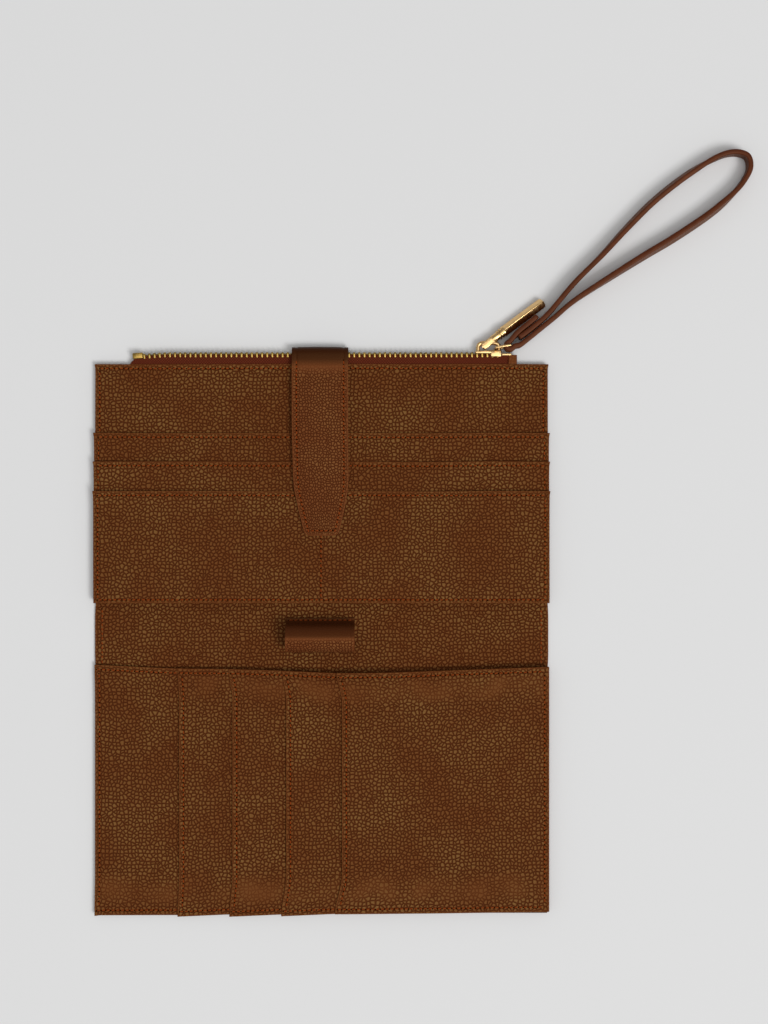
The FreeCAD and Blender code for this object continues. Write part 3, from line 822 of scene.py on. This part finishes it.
# %% The strap's route and outline
STRAP_X = -0.65
STRAP_HALF = 13.75
TIP_Y, TURN_Y, TURN_Z, TURN_R = -25.4, 63.0, 3.9, 3.9
STRAP_T = 1.6
TOP_RUN = TURN_Y - TIP_Y
TURN_RUN = math.pi * TURN_R
ROOT_RUN = TURN_Y - 50.5
TIP_SEAM = SEAM_IN + 0.2        # from the tip to its stitching
CORNER_R = 2.4
STRAP_OUTLINE = ((-4.0, 7.1), (0.0, 8.1), (3.2, 8.9), (13.0, 11.3), (22.0, 13.05), (28.0, 13.5), (60.0, 13.75),
                 (150.0, 13.75))


def strap_half(way):
    """Half the strap's width, at a way along it from the tip."""
    half = sum(through(STRAP_OUTLINE, way + shift) for shift in (-2, 0, 2)) / 3
    if way < CORNER_R:
        half -= CORNER_R - math.sqrt(CORNER_R ** 2 - (CORNER_R - way) ** 2)
    return half


def strap_surface(u, way):
    """The strap's outer face. U is from -1 to 1 in two shares: the middle, and the rim outside the seam."""
    half = strap_half(way)
    seam = STRAP_HALF - SEAM_IN
    x = u * (half - SEAM_IN) / seam if abs(u) <= seam else math.copysign(half - SEAM_IN + abs(u) - seam, u)
    sink = pull(abs(u) - seam, 0.2) * smooth(way, 1.2, 2.4)
    sink = max(sink, pull(way - TIP_SEAM, 0.2) * (abs(u) < seam))
    crown = 0.25 * (1 - (u / STRAP_HALF) ** 2)
    lift = crown - sink - 0.25 + ripple(u, way, 0.05, 14.0)
    x += STRAP_X + 0.8 * (1 - smooth(way, 0, 60))
    if way <= TOP_RUN:
        return x, TIP_Y + way, TURN_Z + TURN_R + lift
    if way <= TOP_RUN + TURN_RUN:
        angle = (way - TOP_RUN) / TURN_R
        radius = TURN_R + lift
        return x, TURN_Y + radius * math.sin(angle), TURN_Z + radius * math.cos(angle)
    return x, TURN_Y - (way - TOP_RUN - TURN_RUN), -0.12 * lift + 0.02


seam = STRAP_HALF - SEAM_IN
across = stations(-STRAP_HALF, STRAP_HALF, (-seam, seam), 2.5)
along = stations(0.0, TOP_RUN + TURN_RUN + ROOT_RUN, (TIP_SEAM,), 2.5)
turn = [TOP_RUN + TURN_RUN * part / 18 for part in range(19)]
along = sorted([way for way in along if not TOP_RUN - 0.2 < way < TOP_RUN + TURN_RUN + 0.2] + turn)
# From 11 mm before the turn, over the turn and underneath, the strap is flattened and darkened: painted shade
# where its top slopes away from the light.
strap = leather_sheet("closure_strap", across, along, strap_surface, STRAP_T - 0.25, strap_leather, 0.4,
                      pressed_and_shaded=lambda u, way: 2.0 * smooth(way, TOP_RUN - 11, TOP_RUN - 1))

# %% Cut the strap where nothing bends, and sew it
BEND_Y = 34.6
RISER_CUT = 50.0
riser, tongue = split_at(strap, RISER_CUT, ("closure_strap_riser", "closure_strap_tongue"))
AT_TURN = ("card_half", "strap_riser", (STRAP_X, 63.0, 1.7), (STRAP_X, 63.0, 6.2))
AT_TONGUE = ("strap_riser", "strap_tongue", (STRAP_X, BEND_Y + 3, 6.2), (STRAP_X, BEND_Y - 3, 6.2))
finish_piece(riser, AT_TURN, "strap_leather", "closure_strap_root", "closure_strap_lining", "closure_strap_outer")
finish_piece(tongue, AT_TONGUE, "strap_leather", "closure_tongue_lining", "closure_tongue_outer")


def sew_strap(name, ends):
    return sew(name, laid_on(strap_surface, ends, 1.5, 0.08), pitch=2.2)


cut_way, seam_end = RISER_CUT - TIP_Y, 60.0 - TIP_Y
tongue_seam = sew_strap("closure_tongue_stitching", [(seam, cut_way), (seam, TIP_SEAM), (-seam, TIP_SEAM),
                                                     (-seam, cut_way)])
riser_seam = join_pieces("closure_riser_stitching", [
    sew_strap("riser_left", [(-seam, cut_way), (-seam, seam_end)]),
    sew_strap("riser_right", [(seam, seam_end), (seam, cut_way)])])
finish_piece(tongue_seam, AT_TONGUE, "strap_leather")
finish_piece(riser_seam, AT_TURN, "strap_leather")

# %% [markdown]
# ## The pen loop
# A strip of strap leather goes round a pen and back onto itself. Its two ends lie together in a short flange
# that is sewn to the spine, so seen from above it is a small barrel beside a stitched edge.

# %% The pen loop
PEN_HALF, PEN_X0 = 16.8, -0.6
PEN_Y, PEN_Z, PEN_OUT = -75.3, 8.62, 6.9
FLANGE_Y = -65.7
JOIN_ANGLE = math.radians(112)
FLANGE_RUN = 5.2


def pen_profile(way):
    """The strip's outer line in Y and Z: along the flange, then round the barrel."""
    start_y = PEN_Y + PEN_OUT * math.sin(JOIN_ANGLE)
    start_z = PEN_Z + PEN_OUT * math.cos(JOIN_ANGLE)
    if way < FLANGE_RUN:
        share = way / FLANGE_RUN
        return FLANGE_Y + (start_y - FLANGE_Y) * share, 2.7 + (start_z - 2.7) * smooth(share, 0.3, 1.12)
    angle = JOIN_ANGLE - (way - FLANGE_RUN) / PEN_OUT
    return PEN_Y + PEN_OUT * math.sin(angle), PEN_Z + PEN_OUT * math.cos(angle)


PEN_RUN = FLANGE_RUN + PEN_OUT * math.radians(360 - 28)
across = stations(-PEN_HALF, PEN_HALF, (-PEN_HALF + 2, PEN_HALF - 2), 2.5)
along = [PEN_RUN * part / 60 for part in range(61)]


def pen_surface(u, way):
    y, z = pen_profile(way)
    sag = 0.12 * (1 - (u / PEN_HALF) ** 2)
    return PEN_X0 + u, y - sag * 0.5, z - pull(abs(u) - PEN_HALF + 2, 0.12)


# The flange and the barrel's side towards it are flattened and darkened: painted shade on the side that faces away
# from the light.
pen_strip = leather_sheet("pen_loop_leather", across, [-way for way in reversed(along)],
                          lambda u, v: pen_surface(u, -v), 0.85, strap_leather, 0.25,
                          pressed_and_shaded=lambda u, v: 1.7 * smooth(v, -20.5, -17.0))
finish_piece(pen_strip, "spine", "strap_leather", "pen_loop")
pen_seam = sew("pen_flange", [(PEN_X0 - 15.6, FLANGE_Y - 1.1, 2.85), (PEN_X0 + 15.6, FLANGE_Y - 1.1, 2.85)])
pen_seam.name = "pen_loop_stitching"
finish_piece(pen_seam, "spine", "strap_leather")

# %% [markdown]
# ## The zip
# Two woven tapes meet at the wallet's edge with a row of stamped brass teeth between them. The tapes are
# thin sheets that rise from between the layers to the chain, each with a cord along its edge that the teeth
# grip. A tooth is modelled once, a clamp with a rounded head, and copied along both tapes.

# %% Tapes
TAPE_LEFT, TAPE_RIGHT = -93.6, 93.0
CHAIN_Z = 3.9


def droop(x):
    """The chain's last centimetres sink back towards the panel at the left end."""
    return -1.1 * smooth(-x, 74, 94)


def tape_surface(side):
    def surface(u, v):
        rise = smooth(v, 57.0, 62.4)
        rest_z = 2.95 if side > 0 else 2.35
        z = rest_z + rise * (4.62 if side > 0 else 3.6 - 0.25) - rise * rest_z
        bead = 0.25 * math.exp(-((v - 62.5) / 0.5) ** 2) * side
        u += 2.6 * smooth(v, 58.5, 63.0) * (1 - smooth(u, TAPE_LEFT, TAPE_LEFT + 6.0))
        return u, v + droop(u) * smooth(v, 57.5, 62.4), z + bead + ripple(u, v, 0.05, 9.0)
    return surface


along = stations(54.2, 63.1, (62.6,), 0.9)
across = stations(TAPE_LEFT, TAPE_RIGHT, (), 2.0)
for side, place in ((1, "front"), (-1, "back")):
    tape = leather_sheet("zip_tape_cloth_" + place, across, along, tape_surface(side), 0.5, zip_tape_cloth, 0.12)
    finish_piece(tape, "card_half", "zip_tape", "zip_tape_" + place)

# %% One tooth, then a chain of them
TOOTH_PITCH = 2.5
TOOTH_FIRST, TOOTH_LAST = -86.5, 87.6


def one_tooth():
    """A clamp with two legs over the tape's cord and a wider head, standing along Y."""
    deselect_all()
    bpy.ops.mesh.primitive_cube_add(size=1.0)
    tooth = bpy.context.object
    tooth.scale = (0.95 * MM, 2.5 * MM, 1.7 * MM)
    bpy.ops.object.transform_apply(scale=True)
    bpy.ops.object.mode_set(mode="EDIT")
    for cut in (0.2, 0.75):
        bpy.ops.mesh.select_all(action="SELECT")
        bpy.ops.mesh.bisect(plane_co=(0, cut * MM, 0), plane_no=(0, 1, 0))
    bpy.ops.object.mode_set(mode="OBJECT")
    for vertex in tooth.data.vertices:
        if vertex.co.y > 0.5 * MM:
            vertex.co.x *= 1.5
        if vertex.co.y > 1.0 * MM:
            vertex.co.x *= 0.62
            vertex.co.z *= 0.75
    round_edges(tooth, "struck_edges", 0.14, 2)
    apply_modifiers(tooth)
    smooth_faces(tooth, 50, chain_brass)
    tooth.name = "tooth"
    return tooth


tooth_model = one_tooth()


def chain(name, side, shift):
    """A row of teeth on one tape."""
    copies = []
    count = int((TOOTH_LAST - TOOTH_FIRST) / TOOTH_PITCH) + 1
    for number in range(count):
        x = TOOTH_FIRST + shift + TOOTH_PITCH * number
        if x > TOOTH_LAST:
            break
        tilt = math.atan2(droop(x + 1) - droop(x - 1), 2)
        tooth = tooth_model.copy()
        tooth.data = tooth_model.data.copy()
        middle_y = 62.9 + droop(x) - (0.45 if side < 0 else 0.0)
        tooth.data.transform(Matrix.Translation(Vector((x, middle_y, CHAIN_Z + 0.88 * side)) * MM)
                             @ Matrix.Rotation(tilt, 4, "Z"))
        bpy.context.collection.objects.link(tooth)
        copies.append(tooth)
    return join_pieces(name, copies)


finish_piece(chain("zip_chain_front", 1, 0.0), "card_half", "antique_brass", "zip_teeth_front")
finish_piece(chain("zip_chain_back", -1, TOOTH_PITCH / 2), "card_half", "antique_brass", "zip_teeth_back")
bpy.data.objects.remove(tooth_model)

# %% [markdown]
# ## Castings and stampings
# The slider, its arch, the puller and the ring are castings. For the puller and the ring, and the stop at the
# chain's right end, the frame's shapes are already theirs. Raw machined edges never catch light the way a polished
# casting does, so each of these is copied, its loose triangles are merged, and every sharp edge gets a small
# round.

# %% Polish a frame part


def polished(node, body, slot, width_mm, name):
    """A copy of a frame part in pale gold, with merged points and rounded edges."""
    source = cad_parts[node]
    piece = source.copy()
    piece.data = source.data.copy()
    piece.parent = None
    piece.matrix_world = Matrix.Identity(4)
    bpy.context.collection.objects.link(piece)
    piece.name = piece.data.name = name
    pick(piece)
    bpy.ops.object.mode_set(mode="EDIT")
    bpy.ops.mesh.select_all(action="SELECT")
    bpy.ops.mesh.remove_doubles(threshold=0.002 * MM)
    bpy.ops.mesh.dissolve_limited(angle_limit=math.radians(1.0))
    bpy.ops.object.mode_set(mode="OBJECT")
    round_edges(piece, "polished_edges", width_mm, 3, 35)
    apply_modifiers(piece)
    smooth_faces(piece, 40, pale_gold)
    finish_piece(piece, body, slot, node)
    return piece


polished("puller_eye", "zip_puller", "gold_metal", 0.2, "puller_eye_casting")
polished("puller_bar", "zip_puller", "gold_metal", 0.3, "puller_bar_casting")
polished("wrist_ring", "ring", "gold_metal", 0.1, "ring_wire")
polished("zip_stop_right", "card_half", "antique_brass", 0.15, "stop_right_stamping")

# %% [markdown]
# The slider is two plates that squeeze the chain, wide where the two rows come together and narrow at the
# nose. Above it a round arch carries the puller. Plates are boxes with rounded edges; the arch is a curve
# with a thickness, which is the easiest way to make a wire or bar that bends in one plane.

# %% Blocks and bent bars


def block(name, low, high, material, edge, turn_deg=0.0):
    """A box between two corners in mm with rounded edges, turned about its own middle."""
    deselect_all()
    low, high = Vector(low), Vector(high)
    bpy.ops.mesh.primitive_cube_add(size=1.0)
    piece = bpy.context.object
    piece.scale = (high - low) * MM
    piece.rotation_euler = (0, 0, math.radians(turn_deg))
    piece.location = (low + high) / 2 * MM
    bpy.ops.object.transform_apply(location=True, rotation=True, scale=True)
    round_edges(piece, "rounded", edge, 3)
    apply_modifiers(piece)
    smooth_faces(piece, 50, material)
    piece.name = piece.data.name = name
    return piece


def bent_bar(name, points, radius, z, material):
    """A round bar along points in the XY plane."""
    deselect_all()
    bpy.ops.curve.primitive_nurbs_path_add()
    piece = bpy.context.object
    curve = piece.data
    curve.splines.clear()
    spline = curve.splines.new("NURBS")
    spline.points.add(len(points) - 1)
    for point, (x, y) in zip(spline.points, points):
        point.co = (x * MM, y * MM, z * MM, 1.0)
    spline.order_u, spline.use_endpoint_u, spline.resolution_u = 3, True, 8
    curve.bevel_depth, curve.bevel_resolution = radius * MM, 3
    curve.use_fill_caps = True
    bpy.ops.object.convert(target="MESH")
    piece = bpy.context.object
    bpy.ops.object.mode_set(mode="EDIT")
    bpy.ops.mesh.select_all(action="SELECT")
    bpy.ops.mesh.remove_doubles(threshold=0.001 * MM)
    bpy.ops.mesh.normals_make_consistent(inside=False)
    bpy.ops.object.mode_set(mode="OBJECT")
    smooth_faces(piece, 50, material)
    piece.name = piece.data.name = name
    return piece


# %% Slider and arch
slider = [block("slider_plate", (82.6, 61.9, z), (87.9, 65.0, z + 1.0), pale_gold, 0.4) for z in (1.7, 5.4)]
slider += [block("slider_nose", (75.2, 63.5, z), (83.2, 64.9, z + 0.8), pale_gold, 0.35) for z in (1.8, 5.45)]
slider.append(block("slider_core", (80.0, 64.0, 2.0), (87.4, 65.2, 6.0), pale_gold, 0.4))
finish_piece(join_pieces("slider_casting", slider), "zip_slider", "gold_metal", "slider_body")
arch = bent_bar("slider_arch", ((76.6, 64.4), (76.4, 66.6), (77.3, 68.7), (81.5, 69.0), (86.0, 68.7), (87.1, 66.8),
                                (86.9, 64.4)), 1.0, CHAIN_Z, pale_gold)
finish_piece(arch, "zip_slider", "gold_metal", "slider_bridge")

# %% The puller's ribbed neck
PULL_AT, PULL_DEG = Vector((80.6, 68.1, 3.9)), 36.6
LIE = Matrix.Translation(PULL_AT * MM) @ Matrix.Rotation(math.radians(PULL_DEG), 4, "Z")


def turned_ring(way, length, radius):
    """A short turned cylinder along the puller."""
    deselect_all()
    bpy.ops.mesh.primitive_cylinder_add(vertices=28, radius=radius * MM, depth=length * MM,
                                        rotation=(0, math.pi / 2, 0), location=((way + length / 2) * MM, 0, 0))
    piece = bpy.context.object
    bpy.ops.object.transform_apply(location=True, rotation=True)
    round_edges(piece, "turned_edge", 0.18, 2)
    apply_modifiers(piece)
    smooth_faces(piece, 40, pale_gold)
    piece.data.transform(LIE)
    return piece


def fork_plate(side):
    """One cheek of the fork that holds the arch, above or below it."""
    low_z, high_z = sorted((side * 1.0, side * 1.85))
    piece = block("fork_plate", (-2.3, -1.7, low_z), (4.6, 1.7, high_z), pale_gold, 0.42)
    piece.data.transform(LIE)
    return piece


rings = [fork_plate(1), fork_plate(-1)]
rings += [turned_ring(way, length, radius) for way, length, radius in
         ((3.7, 5.9, 2.0), (7.2, 0.8, 2.5), (8.6, 0.8, 2.65), (10.0, 1.3, 2.7), (9.0, 2.6, 2.2))]
finish_piece(join_pieces("puller_neck_casting", rings), "zip_puller", "gold_metal", "puller_collar")

# %% The stop at the chain's left end
stop = block("stop_left_stamping", (-92.3, 61.0, 2.6), (-87.2, 63.9, 5.4), chain_brass, 0.45, 4.0)
finish_piece(stop, "card_half", "antique_brass", "zip_stop_left")

# %% The folded end of the tape
low, high = (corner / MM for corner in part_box("zip_end_tab"))


def tab_surface(u, v):
    """A fold of tape leather, rounded over its outer end."""
    share = (u - low.x) / (high.x - low.x)
    drop = 1.0 - math.sqrt(max(0.0, 1.0 - share ** 4))
    return u, v, high.z - drop * (high.z - low.z) * 0.5


tab = leather_sheet("zip_end_fold", stations(low.x - 1.6, high.x, (), 0.4), stations(low.y, high.y, (), 0.6),
                    tab_surface, 1.3, strap_leather, 0.4, pressed_and_shaded=lambda u, v: 0.8)
finish_piece(tab, "card_half", "strap_leather", "zip_end_tab")

# %% [markdown]
# ## The wrist strap
# A long strap of two plies stands on its edge, folded round the ring and sewn to itself, so from above it
# is a thin loop with painted edges. Its line is a smooth curve through a few points; the strap is a grid
# that follows that line, thickened both ways. The far end has come down onto the table.

# %% The wrist strap's line
WRIST_T = 2.45
RING_AT = Vector((91.88, 67.12, 0))
RUN_DEG = 39.6
TAB_POINTS = ((105.2, 81.5), (103.2, 79.8), (99.6, 76.9), (95.6, 73.6))
LOOP_POINTS = (
    (96.9, 67.6), (100.7, 70.5), (107.3, 75.9), (113.5, 80.9), (123.6, 89.4), (140.9, 100.7), (158.2, 111.5),
    (172.3, 119.9), (189.8, 131.7), (200.9, 141.4), (206.6, 148.4), (209.2, 154.5), (207.4, 160.2),
    (199.7, 161.5), (189.8, 157.7), (176.6, 149.4), (162.2, 137.9), (149.4, 125.1), (136.6, 111.1),
    (123.6, 98.0), (111.9, 84.2), (106.3, 78.7), (100.8, 74.2), (95.8, 70.6))
run = Vector((math.cos(math.radians(RUN_DEG)), math.sin(math.radians(RUN_DEG)), 0))
left = Vector((-run.y, run.x, 0))
TURN_RADIUS = 1.75
turn_points = []
for step in range(9):
    angle = math.pi * step / 8
    turn_points.append(RING_AT + left * TURN_RADIUS * math.cos(angle) - run * TURN_RADIUS * math.sin(angle))
turn_points = [turn_points[0] + run * 2.0, *turn_points, turn_points[-1] + run * 2.0]
line = [Vector((x, y, 0)) for x, y in TAB_POINTS] + turn_points + [Vector((x, y, 0)) for x, y in LOOP_POINTS]


def smooth_line(points, parts=6):
    """An easy curve through the points."""
    made = []
    for index in range(len(points) - 1):
        before = points[max(0, index - 1)]
        start, end = points[index], points[index + 1]
        after = points[min(len(points) - 1, index + 2)]
        for part in range(parts):
            t = part / parts
            made.append(0.5 * (2 * start + (end - before) * t + (2 * before - 5 * start + 4 * end - after) * t * t
                               + (3 * start - before - 3 * end + after) * t ** 3))
    return made + [points[-1]]


def even_steps(points, step):
    """The same line with points a constant step apart."""
    made, left_over = [points[0]], 0.0
    for start, end in zip(points, points[1:]):
        length = (end - start).length
        way = step - left_over
        while way <= length:
            made.append(start.lerp(end, way / length))
            way += step
        left_over = length - (way - step)
    return made


wrist_line = even_steps(smooth_line(line), 1.0)
print("the wrist strap is", len(wrist_line) - 1, "mm long")

# %% The wrist strap's body
STRAP_LOW, STRAP_HIGH = 1.55, 10.15
LEAN = 0.17                     # how far the strap's middle stretch leans out, for each mm of its height


def rest_height(place):
    """The strap comes down to the table towards the loop's far end."""
    far = (place - RING_AT).length
    return -1.3 * smooth(far, 18, 90)


def wrist_surface(u, v):
    """The strap's middle line at v mm along, u mm up its width."""
    index = min(len(wrist_line) - 1, max(0, round(v)))
    place = wrist_line[index]
    ahead = wrist_line[min(len(wrist_line) - 1, index + 1)]
    behind = wrist_line[max(0, index - 1)]
    forward = (ahead - behind).normalized()
    side = Vector((-forward.y, forward.x, 0))
    middle = (STRAP_LOW + STRAP_HIGH) / 2
    far = (place - RING_AT).length
    waver = 0.05 * noise.noise(Vector((v / 40, 0.2, 0.7)))
    lean = LEAN * smooth(far, 40, 90) * (1 - smooth(far, 122, 138)) + waver
    place = place + side * (lean * u + WRIST_T / 2)
    return place.x, place.y, middle + u + rest_height(place)


half = (STRAP_HIGH - STRAP_LOW) / 2
along = [float(way) for way in range(len(wrist_line))]
wrist = leather_sheet("wrist_strap", [-half, -half + 0.7, -half + 1.9, -1.2, 1.2, half - 1.9, half - 0.7, half],
                      along, wrist_surface, WRIST_T, strap_leather, 0.65, 35)
wrist.data.materials.append(edge_paint)
for face in wrist.data.polygons:
    face.material_index = 1 if abs(face.normal.z) > 0.5 else 0
finish_piece(wrist, "wrist_strap", "strap_leather", "wrist_strap_outer", "wrist_strap_lining")
print("the wrist strap has", len(wrist.data.polygons), "faces")

# %% [markdown]
# ## Table and light
# A plain pale table, one large soft light high up at the lower right, a weaker one overhead, and an even
# room light. The shadows fall up and to the left, soft and short, because the wallet is thin.

# %% Table and lights
deselect_all()
bpy.ops.mesh.primitive_plane_add(size=6.0, location=(0, 0, 0))
table_top = bpy.context.object
table_top.name = "table_top"
table_top.data.materials.append(new_material("pale_matt_paint", Roughness=0.9, Specular_IOR_Level=0.0,
                                             Base_Color=colour("#dfdfdf"))[0])


def soft_light(name, place, aim, size, power):
    """A square area light that points at a place."""
    data = bpy.data.lights.new(name, "AREA")
    data.size, data.energy = size, power
    lamp = bpy.data.objects.new(name, data)
    lamp.location = place
    lamp.rotation_euler = (Vector(aim) - Vector(place)).to_track_quat("-Z", "Y").to_euler()
    bpy.context.collection.objects.link(lamp)


WALLET_MIDDLE = (0.03, -0.02, 0)
soft_light("window_light", (3.4, -3.2, 6.6), WALLET_MIDDLE, 2.8, 300.0)
soft_light("top_fill", (0.3, -0.5, 3.6), WALLET_MIDDLE, 2.6, 40.0)
world = bpy.data.worlds.new("room")
world.use_nodes = True
room_light = world.node_tree.nodes["Background"].inputs
room_light["Color"].default_value = colour("#ffffff")
room_light["Strength"].default_value = 0.35
bpy.context.scene.world = world
bpy.context.scene.view_settings.view_transform = "Standard"

# %% Finish
bpy.data.objects.remove(stitch_model)
